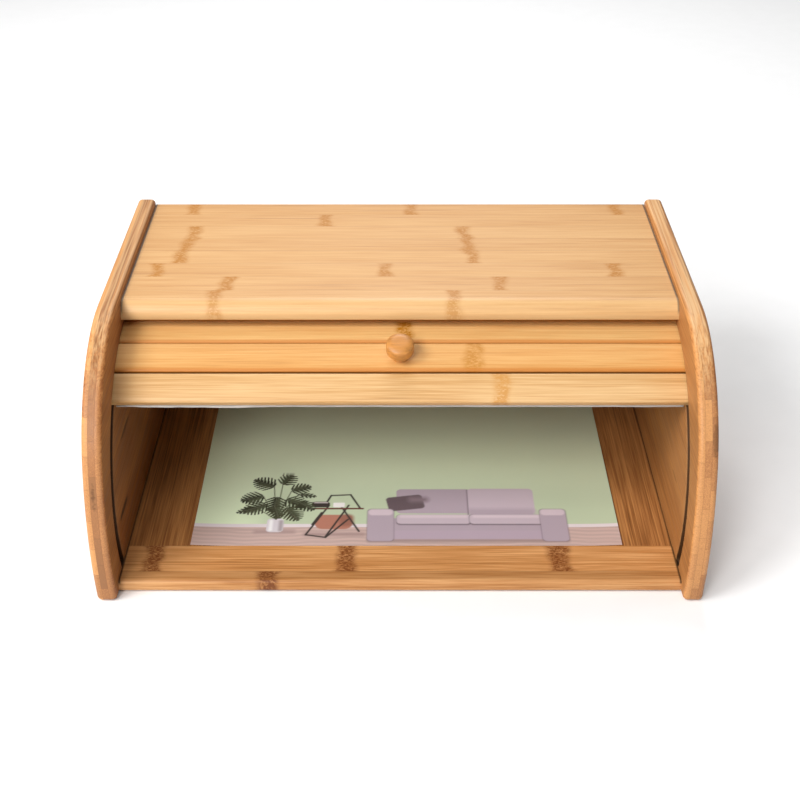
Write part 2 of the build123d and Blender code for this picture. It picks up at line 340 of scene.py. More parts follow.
def panel_grain(f):
    x, y, z = f.parts(f.place())
    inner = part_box("top_board")[1].x
    return y, z, f.minus(f.math("ABSOLUTE", x), inner), cut_by(f, 1), 0.0


def slat_grain(f):
    return *f.parts(f.attribute("grain")), cut_by(f, 0), f.attribute("board", "Fac")


def steel(name, colour):
    f = Finish(name, Metallic=1.0)
    place = f.place()
    brushed = f.noise(place, 900.0, 3.0)
    wide = f.noise(place, 120.0, 2.0)
    tone = f.mix(wide, [0.82 * c for c in colour], colour)
    return f.cover(tone, f.span(brushed, 0.3, 0.7, 0.22, 0.42), brushed, 0.00004, 0.4)


# ---------------------------------------------------------------- small makers of geometry

class Growth(Net):
    """A Geometry Nodes tree with named inputs."""

    def __init__(self, name):
        super().__init__(bpy.data.node_groups.new(name, "GeometryNodeTree"))
        self.keys = {}
        self.values = {}
        self.source = self.tree.nodes.new("NodeGroupInput")
        self.start = self.socket("Geometry", "NodeSocketGeometry")
        self.tree.interface.new_socket(name="Geometry", in_out="OUTPUT", socket_type="NodeSocketGeometry")

    def socket(self, name, kind, value=None):
        made = self.tree.interface.new_socket(name=name, in_out="INPUT", socket_type=kind)
        if value is not None:
            self.keys[name] = made.identifier
            self.values[name] = value
        return self.source.outputs[made.identifier]

    def size(self, name, value):
        return self.socket(name, "NodeSocketFloat", float(value))

    def count(self, name, value):
        return self.socket(name, "NodeSocketInt", int(value))

    def store(self, geometry, name, kind, value, domain="POINT"):
        made = self.node("GeometryNodeStoreNamedAttribute", data_type=kind, domain=domain)
        self.feed(made.inputs["Geometry"], geometry)
        self.feed(made.inputs["Name"], name)
        self.feed(made.inputs["Value"], value)
        return made.outputs["Geometry"]

    def shape(self, kind, inputs=(), output="Geometry", **settings):
        return self.node("GeometryNode" + kind, inputs, **settings).outputs[output]

    def position(self):
        return self.shape("InputPosition", output=0)

    def run(self, name, geometry, material, base=None):
        """Ends the tree, grows it once and returns a plain mesh object at the origin."""
        real = self.shape("RealizeInstances", {"Geometry": geometry})
        coat = self.shape("SetMaterial", {"Geometry": real, "Material": material})
        end = self.tree.nodes.new("NodeGroupOutput")
        self.feed(end.inputs["Geometry"], coat)
        grown = bpy.data.objects.new(name, base or bpy.data.meshes.new(name))
        bpy.context.scene.collection.objects.link(grown)
        modifier = grown.modifiers.new("growth", "NODES")
        modifier.node_group = self.tree
        for key, identifier in self.keys.items():
            modifier[identifier] = self.values[key]
        graph = bpy.context.evaluated_depsgraph_get()
        mesh = bpy.data.meshes.new_from_object(grown.evaluated_get(graph), preserve_all_data_layers=True,
                                               depsgraph=graph)
        grown.modifiers.remove(modifier)
        grown.data = mesh
        mesh.name = name
        return grown


def add_object(name, mesh):
    made = bpy.data.objects.new(name, mesh)
    bpy.context.scene.collection.objects.link(made)
    return made


def coat(node, material):
    """Gives a CAD node its finish."""
    slots = frame["nodes"][node].data.materials
    slots.clear()
    slots.append(material)


def soften(thing, angle=35.0):
    """Shades a made piece smooth except over sharp corners."""
    for face in thing.data.polygons:
        face.use_smooth = True
    thing.data.set_sharp_from_angle(angle=math.radians(angle))


# ---------------------------------------------------------------- settings

def colour_setting(name, words, value):
    return FloatVectorProperty(name=name, description=words, default=value, subtype="COLOR", min=0.0, max=1.0)


def length_setting(name, words, value):
    return FloatProperty(name=name, description=words, default=value, subtype="DISTANCE", unit="LENGTH",
                         min=0.0, precision=5)


class BreadBoxSizes(bpy.types.PropertyGroup):
    board_strip: length_setting("Board strip", "Width of the strips in the top board and back panel", 0.0209)
    floor_strip: length_setting("Floor strip", "Width of the bamboo strips in the floor board", 0.0185)
    panel_strip: length_setting("Panel strip", "Height of the bamboo strips in the side panels", 0.021)
    panel_ply: length_setting("Panel ply", "Thickness of one ply of a side panel", 0.00433)
    slat_rounding: length_setting("Slat rounding", "Rounding of the long edges of the slats", 0.0016)
    slat_crown: length_setting("Slat crown", "Rise of a slat's face above its edges", 0.00035)
    slat_wander: length_setting("Slat wander", "How far the slats wander from straight", 0.00012)
    rail_rounding: length_setting("Rail rounding", "Rounding of the long edges of the bottom rail", 0.0017)
    canvas_thickness: length_setting("Canvas thickness", "Thickness of the canvas", 0.0006)
    hem_depth: length_setting("Hem depth", "How far the canvas shows below the bottom rail", 0.0007)
    hem_ripple: length_setting("Hem ripple", "Height of the waves along the canvas edge", 0.0006)
    canvas_thread: length_setting("Canvas thread", "Spacing of the threads in the canvas", 0.0007)
    screw_recess: length_setting("Screw recess", "Width of the arms of a screw's cross recess", 0.0009)
    print_strength: FloatProperty(name="Print strength", description="Brightness of the leaflet's print",
                                  default=1.52, min=0.0, max=3.0)
    leaflet_curl: length_setting("Leaflet curl", "Lift of the leaflet's side edges from the floor", 0.0008)


class BreadBoxColours(bpy.types.PropertyGroup):
    board_light: colour_setting("Board, light", "Light fibres of the top board", (0.665, 0.395, 0.162))
    board_dark: colour_setting("Board, dark", "Dark fibres of the top board", (0.540, 0.272, 0.088))
    # painted highlight on the top board's front edge
    board_nose_highlight: colour_setting("Board, nose", "Sanded front edge of the top board", (0.700, 0.500, 0.260))
    slat_light: colour_setting("Slats, light", "Light fibres of the slats", (0.765, 0.470, 0.187))
    slat_dark: colour_setting("Slats, dark", "Dark fibres of the slats", (0.600, 0.285, 0.081))
    # painted shade on the downward-turned lower edges of the slats
    slat_lower_edge_shade: colour_setting("Slats, lower edge", "Brown lower edges of the slats", (0.468, 0.1596, 0.02106))
    knob_slat: colour_setting("Slat with the knob", "Deeper tone of that slat", (0.560, 0.290, 0.090))
    rail_light: colour_setting("Rail, light", "Light fibres of the bottom rail", (0.690, 0.455, 0.222))
    rail_dark: colour_setting("Rail, dark", "Dark fibres of the bottom rail", (0.530, 0.292, 0.106))
    lip_light: colour_setting("Lip, light", "Light fibres of the front lip", (0.820, 0.438, 0.180))
    lip_dark: colour_setting("Lip, dark", "Dark fibres of the front lip", (0.520, 0.220, 0.065))
    panel_light: colour_setting("Panels, light", "Light fibres of the side panels", (0.610, 0.275, 0.085))
    panel_dark: colour_setting("Panels, dark", "Dark fibres of the side panels", (0.310, 0.107, 0.027))
    # painted highlight laid over the up-facing rims of the side panels
    panel_rim_sheen: colour_setting("Panels, rim", "Sanded rims of the side panels", (0.680, 0.420, 0.200))
    floor_light: colour_setting("Floor, light", "Light fibres of the floor board", (0.535, 0.240, 0.076))
    floor_dark: colour_setting("Floor, dark", "Dark fibres of the floor board", (0.300, 0.115, 0.032))
    knuckle: colour_setting("Growth rings", "Brown of the growth rings in the bamboo", (0.420, 0.160, 0.006))
    rail_knuckle: colour_setting("Growth rings, rail", "Brown of the rail's ring", (0.520, 0.250, 0.060))
    lip_knuckle: colour_setting("Growth rings, lip", "Brown of the front lip's rings", (0.215, 0.062, 0.014))
    knob: colour_setting("Knob", "Turned wood of the knob", (0.480, 0.198, 0.041))
    canvas: colour_setting("Canvas", "Cotton canvas behind the slats", (0.600, 0.570, 0.530))
    steel: colour_setting("Steel", "Zinc-plated screws", (0.62, 0.61, 0.58))
    stage: colour_setting("Stage", "Pale floor under the box", (0.92, 0.92, 0.92))


def sizes():
    return bpy.context.scene.bread_box_sizes


def colours():
    return bpy.context.scene.bread_box_colours


# ---------------------------------------------------------------- the case

class BREADBOX_OT_side_panels(bpy.types.Operator):
    """Three-ply bamboo finish on both side panels"""
    bl_idname = "bread_box.side_panels"
    bl_label = "Side panels"

    def execute(self, context):
        c, s = colours(), sizes()
        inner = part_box("top_board")[1].x
        slat = across_track(SLATS[-1])
        groove_middle = (slat["inner"] + slat["outer"]) / 2 + 0.0004
        groove_half, groove_depth = 0.0052, 0.0075

        # painted shade in the groove's hollow, and dark knots: each knot's place and half size as depth, y
        # and z, and how dark
        def groove_shade_and_knots(marks):
            def wash(f):
                x, y, z = f.parts(f.place())
                depth = f.minus(f.math("ABSOLUTE", x), inner)
                dy, dz = f.minus(y, TRACK.y), f.minus(z, TRACK.z)
                away = f.math("SQRT", f.plus(f.times(dy, dy), f.times(dz, dz)))
                # painted shade inside the groove
                band = f.math("COMPARE", away, groove_middle, groove_half)
                inside = f.times(f.span(depth, 0.0001, 0.0006), f.math("LESS_THAN", depth, groove_depth))
                dark = f.times(f.times(band, inside), 0.9)
                rough = f.noise(f.stretched((y, z, x), 120.0, 500.0, 400.0), detail=2.0)
                for deep, at_y, at_z, half_deep, half_y, half_z, amount in marks:
                    share = 0.0
                    for value, at, half in ((depth, deep, half_deep), (y, at_y, half_y), (z, at_z, half_z)):
                        t = f.math("DIVIDE", f.minus(value, at), half)
                        share = f.math("MULTIPLY_ADD", t, t, share)
                    share = f.math("MULTIPLY_ADD", f.minus(rough, 0.5), 1.6, share)
                    dark = f.math("MAXIMUM", dark, f.span(share, 1.2, 0.5, 0.0, amount, smooth=True))
                return dark
            return wash

        # painted highlight on the rims, paler where they face up
        def crown(amount):
            def wash(f):
                place = f.parts(f.place())
                up = f.facing()[2]
                lines = f.noise(f.stretched(place, 900.0, 14.0, 300.0), detail=2.0)
                return f.times(f.span(up, 0.62, 0.98, smooth=True),
                               f.span(lines, 0.36, 0.62, 0.15 * amount, amount))
            return wash

        knots = {"side_panel_left": ((0.0, -0.085, 0.039, 0.002, 0.015, 0.0022, 0.85),
                                     (0.0, -0.052, 0.084, 0.002, 0.018, 0.0019, 0.6),
                                     (0.0065, -0.126, 0.080, 0.0022, 0.012, 0.014, 0.5)),
                 "side_panel_right": ((0.0005, -0.070, 0.055, 0.002, 0.010, 0.0013, 0.35),
                                      (0.011, -0.122, 0.118, 0.0022, 0.010, 0.012, 0.35),
                                      (0.0115, -0.124, 0.086, 0.0020, 0.010, 0.008, 0.4))}
        for node, seed, tints, amount in (("side_panel_left", 3.0, (-0.10, -0.30, 0.16), 0.62),
                                          ("side_panel_right", 11.0, (0.14, 0.08, -0.04), 0.90)):
            wood = bamboo(node + "_bamboo", c.panel_light, c.panel_dark, [0.6 * v for v in c.knuckle],
                          panel_grain, s.panel_strip, 0.0, seed, 0.9, 0.4, scatter=0.12,
                          plies=s.panel_ply, ply_tints=tints,
                          washes=((crown(amount), c.panel_rim_sheen),
                                  (groove_shade_and_knots(knots[node]), [0.08 * v for v in c.panel_dark])))
            coat(node, wood)
        return {"FINISHED"}


class BREADBOX_OT_boards(bpy.types.Operator):
    """Bamboo finish on the top board, back panel, floor board and front lip"""
    bl_idname = "bread_box.boards"
    bl_label = "Boards"

    def execute(self, context):
        c, s = colours(), sizes()
        low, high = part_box("top_board")
        rings = [(0, strip, place) for strip, places in enumerate((
            (-0.125, 0.037), (-0.119, 0.068), (-0.170, -0.010, 0.150), (-0.156, 0.052), (-0.153, 0.049),
            (-0.151, 0.047), (-0.056,), (-0.157, 0.008, 0.164))) for place in places]
        end = high.x
        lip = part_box("front_lip")[0]
        lip_strip, lip_start = 0.029, lip.y - 0.0185

        # painted shade along the floor's edges, in its corners with the side panels
        def floor_corner_shade(f):
            return f.span(f.math("ABSOLUTE", f.parts(f.place())[0]), end - 0.0016, end - 0.0004, 0.0, 0.8)

        # painted highlight: the board paler towards its front edge
        def nose_highlight(f):
            return f.span(f.parts(f.place())[1], low.y + 0.015, low.y + 0.004, 0.0, 0.22, smooth=True)

        # painted shade on the lip's front edge and face
        def lip_front_shade(f):
            return f.span(f.parts(f.place())[1], lip.y + 0.0115, lip.y + 0.0105, 0.0, 0.22)

        coat("top_board", bamboo("top_board_bamboo", c.board_light, c.board_dark, c.knuckle,
                                 board_grain(0, 1, 2), s.board_strip, low.y, 5.0, 0.85, 0.16, knuckles=rings,
                                 ends=end, gloss=0.5, washes=((nose_highlight, c.board_nose_highlight),)))
        coat("back_panel", bamboo("back_panel_bamboo", c.board_light, c.board_dark, c.knuckle,
                                  board_grain(0, 2, 1), s.board_strip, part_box("back_panel")[0].z, 21.0, 0.8,
                                  0.25, scatter=0.30))
        coat("floor_board", bamboo("floor_board_bamboo", c.floor_light, c.floor_dark,
                                   [0.7 * v for v in c.knuckle], board_grain(1, 0, 2), s.floor_strip,
                                   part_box("floor_board")[0].x, 31.0, 1.35, 0.30, scatter=0.10,
                                   washes=((floor_corner_shade, [0.08 * v for v in c.floor_dark]),)))
        coat("front_lip", bamboo("front_lip_bamboo", c.lip_light, c.lip_dark, c.lip_knuckle,
                                 board_grain(0, 1, 2), lip_strip, lip_start, 41.0, 1.05, 0.0,
                                 knuckles=((0, 1, -0.167), (0, 0, -0.088), (0, 1, -0.036), (0, 1, 0.108)),
                                 ring_width=0.0052, ends=end,
                                 washes=((lip_front_shade, [0.08 * v for v in c.lip_dark]),)))
        f = Finish("dowel_beech")
        line = f.noise(f.stretched(f.parts(f.place()), 60.0, 900.0, 900.0), detail=3.0)
        coat("case_dowels", f.cover(f.ramp(line, (0.3, (0.52, 0.36, 0.2)), (0.7, (0.72, 0.55, 0.36))),
                                    f.span(line, 0.3, 0.7, 0.5, 0.7), line, 0.0001, 0.4))
        return {"FINISHED"}


class BREADBOX_OT_case_screws(bpy.types.Operator):
    """Countersunk cross-recess screws, one at each screw of the frame"""
    bl_idname = "bread_box.case_screws"
    bl_label = "Case screws"

    def execute(self, context):
        found = islands("case_screws")
        head_radius = max(high.z - low.z for low, high in found) / 2
        length = max(high.x - low.x for low, high in found)
        points = bpy.data.meshes.new("screw_places")
        spots = [(high.x if high.x > 0 else low.x, (low.y + high.y) / 2, (low.z + high.z) / 2)
                 for low, high in found]
        points.from_pydata(spots, [], [])
        g = Growth("case_screw_growth")
        radius = g.size("Head radius", head_radius)
        shank = g.size("Shank radius", head_radius / 2)
        depth = g.size("Head height", 0.0024)
        arm = g.size("Recess width", sizes().screw_recess)
        long = g.size("Screw length", length)
        cone = g.shape("MeshCone", {"Vertices": 48, "Radius Top": radius, "Radius Bottom": shank,
                                    "Depth": depth}, "Mesh")
        down = g.vector(0.0, 0.0, g.times(depth, -1.0))
        cone = g.shape("Transform", {"Geometry": cone, "Translation": down})
        cut = g.node("GeometryNodeMeshBoolean", {"Mesh 1": cone}, operation="DIFFERENCE", solver="EXACT")
        for turn in (0.0, math.pi / 2):
            size = g.vector(g.times(radius, 1.1), arm, depth)
            box = g.shape("MeshCube", {"Size": size}, "Mesh")
            box = g.shape("Transform", {"Geometry": box, "Rotation": (0.0, 0.0, turn)})
            g.feed(cut.inputs["Mesh 2"], box)
        below = g.minus(long, depth)
        stem = g.shape("MeshCylinder", {"Vertices": 24, "Radius": shank, "Depth": below}, "Mesh")
        drop = g.times(g.plus(long, depth), -0.5)
        stem = g.shape("Transform", {"Geometry": stem, "Translation": g.vector(0.0, 0.0, drop)})
        screw = g.node("GeometryNodeJoinGeometry")
        g.feed(screw.inputs[0], cut.outputs["Mesh"])
        g.feed(screw.inputs[0], stem)
        x = g.parts(g.position())[0]
        lean = g.times(g.math("SIGN", x), math.pi / 2)
        spin = g.times(g.shape("InputIndex", output=0), 0.7)
        turn = g.node("FunctionNodeEulerToRotation", {"Euler": g.vector(0.0, lean, 0.0)}).outputs[0]
        twist = g.node("FunctionNodeEulerToRotation", {"Euler": g.vector(0.0, 0.0, spin)}).outputs[0]
        both = g.node("FunctionNodeRotateRotation", {"Rotation": turn, "Rotate By": twist},
                      rotation_space="LOCAL").outputs[0]
        put = g.shape("InstanceOnPoints", {"Points": g.start, "Instance": screw.outputs[0],
                                           "Rotation": both}, 0)
        screws = g.run("case_screw_set", put, steel("zinc_steel", colours().steel), points)
        soften(screws)
        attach(screws, CASE)
        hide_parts("case_screws")
        return {"FINISHED"}


# ---------------------------------------------------------------- the roll top

def grow_slats(name, first, pitch, number, middle, half_low, thickness, distance, rounding, crown,
               half_length, material):
    """Slats with rounded edges and slightly crowned faces, set side by side round the track."""
    g = Growth(name + "_growth")
    count = g.count("Slats", number)
    angle_one = g.size("First angle", first)
    step = g.size("Angle between slats", pitch)
    inner = g.size("Distance of inner face", distance)
    thick = g.size("Thickness", thickness)
    low_width = g.size("Inner width", 2 * half_low)
    flare = g.size("Flare of the edges", math.tan(pitch / 2))
    edge = g.size("Edge rounding", rounding)
    rise = g.size("Crown", crown)
    reach = g.size("Half length", half_length)
    wander = g.size("Wander", sizes().slat_wander)
    offset = g.size("Sideways offset", middle)
    high_width = g.math("MULTIPLY_ADD", g.times(thick, 2.0), flare, low_width)
    profile = g.shape("CurvePrimitiveQuadrilateral", {"Height": thick, "Bottom Width": low_width,
                                                      "Top Width": high_width, "Offset": 0.0}, "Curve",
                      mode="TRAPEZOID")
    profile = g.shape("FilletCurve", {"Curve": profile, "Count": 4, "Radius": edge}, "Curve", mode="POLY")
    profile = g.shape("SubdivideCurve", {"Curve": profile, "Cuts": 3}, "Curve")
    px, py = g.parts(g.position())[:2]
    share = g.math("DIVIDE", g.times(px, 2.0), high_width)
    dome = g.times(rise, g.minus(1.0, g.times(share, share)))
    over = g.math("GREATER_THAN", py, g.times(thick, 0.4))
    lift = g.times(g.minus(dome, rise), over)
    profile = g.shape("SetPosition", {"Geometry": profile, "Offset": g.vector(0.0, lift, 0.0)})
    line = g.shape("CurvePrimitiveLine", {"Start": g.vector(0.0, 0.0, g.times(reach, -1.0)),
                                          "End": g.vector(0.0, 0.0, reach)}, "Curve")
    line = g.shape("ResampleCurve", {"Curve": line, "Count": 49}, "Curve", mode="COUNT")
    bar = g.shape("CurveToMesh", {"Curve": line, "Profile Curve": profile, "Fill Caps": True}, "Mesh")
    turned = Matrix(((0, 0, 1), (1, 0, 0), (0, 1, 0))).to_euler()
    bar = g.shape("Transform", {"Geometry": bar, "Rotation": tuple(turned),
                                "Translation": g.vector(0.0, offset, g.times(thick, 0.5))})
    bar = g.store(bar, "grain", "FLOAT_VECTOR", g.position())
    dots = g.shape("MeshLine", {"Count": count, "Offset": (0.0, 0.0, 0.0)}, "Mesh", mode="OFFSET")
    index = g.shape("InputIndex", output=0)
    angle = g.math("MULTIPLY_ADD", index, step, angle_one)
    y = g.minus(TRACK.y, g.times(inner, g.math("COSINE", angle)))
    z = g.plus(TRACK.z, g.times(inner, g.math("SINE", angle)))
    dots = g.shape("SetPosition", {"Geometry": dots, "Position": g.vector(0.0, y, z)})
    tilt = g.vector(g.minus(math.pi / 2, angle), 0.0, 0.0)
    turn = g.node("FunctionNodeEulerToRotation", {"Euler": tilt}).outputs[0]
    ring = g.shape("InstanceOnPoints", {"Points": dots, "Instance": bar, "Rotation": turn}, 0)
    ring = g.store(ring, "board", "FLOAT", index, "INSTANCE")
    ring = g.shape("RealizeInstances", {"Geometry": ring})
    sx, sy, sz = g.parts(g.position())
    away = g.node("ShaderNodeVectorMath", {0: g.vector(0.0, g.minus(sy, TRACK.y), g.minus(sz, TRACK.z))},
                  operation="NORMALIZE").outputs[0]
    drift = g.noise(g.stretched((sx, sy, sz), 9.0, 30.0, 30.0), detail=1.0)
    drift = g.times(g.minus(drift, 0.5), g.times(wander, 2.0))
    push = g.node("ShaderNodeVectorMath", {0: away, "Scale": drift}, operation="SCALE").outputs[0]
    ring = g.shape("SetPosition", {"Geometry": ring, "Offset": push})
    grown = g.run(name, ring, material)
    soften(grown, 40.0)
    return grown


class BREADBOX_OT_slats(bpy.types.Operator):
    """The slats of the roll top and its bottom rail"""
    bl_idname = "bread_box.slats"
    bl_label = "Slats and bottom rail"

    def execute(self, context):
        c, s = colours(), sizes()
        first, last = across_track(SLATS[0]), across_track(SLATS[-1])
        pitch = (last["middle"] - across_track(SLATS[1])["middle"]) / (len(SLATS) - 2)
        half_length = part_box(SLATS[0])[1].x
        thick = last["outer"] - last["inner"]
        one_strip = 0.05

        # painted shade on the slats' sides in the gaps, a deeper tone on the slat with the knob, and painted
        # shade on the slats' lower edges
        # painted shade in the gaps between slats
        def slat_gap_shade(f):
            return f.span(slat_grain(f)[2], thick - 0.0012, thick - 0.0022, 0.0, 0.6)

        def knob_slat(f):
            return f.times(f.math("COMPARE", slat_grain(f)[4], 0.0, 0.5), 0.35)

        # painted shade on each slat's lower edge
        def lower_edge_shade(f):
            across, edge = slat_grain(f)[1], first["low"]
            return f.span(across, edge + 0.0030, edge - 0.0004, 0.0, 0.8, smooth=True)

        places = ((0.049,), (0.003,), (-0.131,), (0.088,), (-0.052, 0.170), (-0.165,), (0.121,))
        rings = [(number, 0, place) for number, row in enumerate(places) for place in row]
        wood = bamboo("slat_bamboo", c.slat_light, c.slat_dark, c.knuckle, slat_grain, one_strip,
                      -one_strip / 2, 53.0, 0.8, 0.30, knuckles=rings, ring_width=0.0045,
                      washes=((knob_slat, c.knob_slat), (lower_edge_shade, c.slat_lower_edge_shade),
                              (slat_gap_shade, [0.08 * v for v in c.slat_dark])))
        slats = grow_slats("roll_top_slats", last["middle"] - pitch * (len(SLATS) - 1), pitch, len(SLATS),
                           0.0, last["high"], thick, last["inner"], s.slat_rounding, s.slat_crown,
                           half_length, wood)
        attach(slats, ROLL_TOP)
        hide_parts(*SLATS)
        rail = across_track("bottom_rail")
        rail_taper = 0.2182
        pale = bamboo("rail_bamboo", c.rail_light, c.rail_dark, c.rail_knuckle, slat_grain, one_strip,
                      -one_strip / 2, 61.0, 0.9, 0.0, knuckles=((0, 0, 0.066),), gloss=0.45,
                      ring_width=0.0042)
        low_rail = grow_slats("roll_top_rail", rail["middle"], rail_taper, 1,
                              (rail["low"] + rail["high"]) / 2, (rail["high"] - rail["low"]) / 2,
                              rail["outer"] - rail["inner"], rail["inner"], s.rail_rounding, s.slat_crown,
                              half_length, pale)
        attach(low_rail, ROLL_TOP)
        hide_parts("bottom_rail")
        return {"FINISHED"}


class BREADBOX_OT_canvas(bpy.types.Operator):
    """Cotton canvas glued behind the slats, with a wavy edge below the bottom rail"""
    bl_idname = "bread_box.canvas"
    bl_label = "Canvas backing"

    def execute(self, context):
        c, s = colours(), sizes()
        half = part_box("canvas_backing")[1].x
        thick = s.canvas_thickness
        glue_gap = 0.00003
        rail = across_track("bottom_rail")
        bars = [rail] + [across_track(n) for n in SLATS]
        line = []
        for one, two in zip(bars, bars[1:]):
            mid = (one["middle"] + two["middle"]) / 2
            line.append((mid, one["inner"] / math.cos((two["middle"] - one["middle"]) / 2)))
        ends = bars[-1]
        top = ends["middle"] + math.atan2(ends["high"], ends["inner"])
        line.append((top, ends["inner"] / math.cos(top - ends["middle"])))
        spots = [Vector((-math.cos(a) * r, math.sin(a) * r)) for a, r in line]
        low_dir = Vector((-math.sin(rail["middle"]), -math.cos(rail["middle"])))
        out_dir = Vector((-math.cos(rail["middle"]), math.sin(rail["middle"])))
        low = out_dir * rail["inner"] - low_dir * rail["low"]
        columns = 240
        waves = ((0.6, 46.0, 0.8), (0.4, 117.0, 2.0), (0.15, 402.0, 0.0))
        mesh = bmesh.new()
        grid = []
        for i in range(columns + 1):
            x = -half + 2 * half * i / columns
            wave = sum(share * math.sin(x * pace + shift) for share, pace, shift in waves) * s.hem_ripple
            fade = 0.35 + 0.65 * max(0.0, min(1.0, (-x - 0.04) / 0.08))
            hem = max(0.0003, (s.hem_depth + wave) * fade)
            sag = 0.0004 * math.sin(x * 60.0 + 1.0)
            path = [low + low_dir * hem - out_dir * (0.0003 + abs(sag)), low + low_dir * hem * 0.4, low,
                    low.lerp(spots[0], 0.5)]
            for one, two in zip(spots, spots[1:]):
                path += [one, one.lerp(two, 0.5)]
            path.append(spots[-1])
            column = []
            for p in path:
                q = p - p.normalized() * (thick * 0.5 + glue_gap)
                column.append(mesh.verts.new((x, TRACK.y + q.x, TRACK.z + q.y)))
            grid.append(column)
        weave = mesh.loops.layers.uv.new("weave")
        run = [0.0]
        for a, b in zip(grid[0], grid[0][1:]):
            run.append(run[-1] + (a.co - b.co).length)
        for i in range(columns):
            for j in range(len(grid[0]) - 1):
                corners = ((i, j), (i, j + 1), (i + 1, j + 1), (i + 1, j))
                face = mesh.faces.new([grid[a][b] for a, b in corners])
                for loop, (a, b) in zip(face.loops, corners):
                    loop[weave].uv = (grid[a][b].co.x, run[b])
        bmesh.ops.recalc_face_normals(mesh, faces=mesh.faces)
        data = bpy.data.meshes.new("roll_top_canvas")
        mesh.to_mesh(data)
        mesh.free()
        cloth = add_object("roll_top_canvas", data)
        wall = cloth.modifiers.new("thickness", "SOLIDIFY")
        wall.thickness = thick
        wall.offset = 0.0
        f = Finish("cotton_canvas", Roughness=0.9, Specular_IOR_Level=0.2)
        f.surface.inputs["Sheen Weight"].default_value = 0.3
        u, v = f.parts(f.node("ShaderNodeUVMap", uv_map="weave").outputs["UV"])[:2]
        thread = math.pi * 2 / s.canvas_thread
        over = f.math("SINE", f.times(u, thread))
        under = f.math("SINE", f.times(v, thread))
        knit = f.times(over, under)
        slub = f.noise(f.stretched((u, v), 60.0, 900.0), detail=2.0)
        dust = f.noise(f.stretched((u, v), 30.0, 30.0), detail=2.0)
        tone = f.math("MULTIPLY_ADD", knit, 0.18, f.math("MULTIPLY_ADD", slub, 0.5, f.times(dust, 0.4)))
        colour = f.ramp(tone, (0.2, [0.66 * k for k in c.canvas]), (0.7, c.canvas))
        data.materials.append(f.cover(colour, f.span(slub, 0.3, 0.7, 0.8, 0.95), knit, 0.00015, 0.6))
        soften(cloth, 60.0)
        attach(cloth, ROLL_TOP)
        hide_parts("canvas_backing")
        return {"FINISHED"}


class BREADBOX_OT_knob(bpy.types.Operator):
    """Turned wooden knob and its screw"""
    bl_idname = "bread_box.knob"
    bl_label = "Knob"

    def execute(self, context):
        c = colours()
        low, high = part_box("knob")
        centre = (low + high) / 2
        f = Finish("knob_wood", Roughness=0.45)
        x, y, z = f.parts(f.place())
        x = f.minus(x, centre.x)
        lines = f.noise(f.stretched((x, y, z), 90.0, 900.0, 900.0), detail=3.0, distortion=0.2)
        bands = f.noise(f.stretched((x, y, z), 25.0, 260.0, 260.0), detail=1.0)
        tone = f.math("MULTIPLY_ADD", lines, 0.45, f.times(bands, 0.55))
        colour = f.ramp(tone, (0.3, [0.66 * v for v in c.knob]), (0.5, c.knob),
                        (0.72, [1.22 * v for v in c.knob]))
        coat("knob", f.cover(colour, f.span(lines, 0.3, 0.7, 0.38, 0.52), lines, 0.0001, 0.3))
        coat("knob_screw", steel("knob_screw_steel", c.steel))
        return {"FINISHED"}


# ---------------------------------------------------------------- the leaflet

def rounded(u, v, cx, cy, hw, hh, r):
    """Distance to a rounded rectangle, below 0 inside."""
    dx = np.abs(u - cx) - (hw - r)
    dy = np.abs(v - cy) - (hh - r)
    return np.hypot(np.maximum(dx, 0), np.maximum(dy, 0)) + np.minimum(np.maximum(dx, dy), 0) - r


def stroke(u, v, x0, y0, x1, y1, half):
    """Distance to a straight stroke."""
    dx, dy = x1 - x0, y1 - y0
    t = np.clip(((u - x0) * dx + (v - y0) * dy) / (dx * dx + dy * dy), 0, 1)
    return np.hypot(u - x0 - t * dx, v - y0 - t * dy) - half


def leaf(u, v, x0, y0, turn, length, width):
    """Distance-like value of a split leaf, its stem end at x0, y0."""
    c, s = math.cos(turn), math.sin(turn)
    a = (u - x0) * c + (v - y0) * s
    b = np.abs(-(u - x0) * s + (v - y0) * c)
    t = np.clip(a / length, 0.001, 0.999)
    half = width * 1.9 * np.sqrt(t * (1 - t)) * (1.12 - 0.35 * t)
    notch = np.sin((a - b * 0.7) * 2.1) - 0.45 - 1.6 * (0.55 - b / half)
    return np.maximum(np.where((a < 0) | (a > length), 5.0, b - half), notch)


def ease(t):
    t = np.clip(t, 0, 1)
    return t * t * (3 - 2 * t)


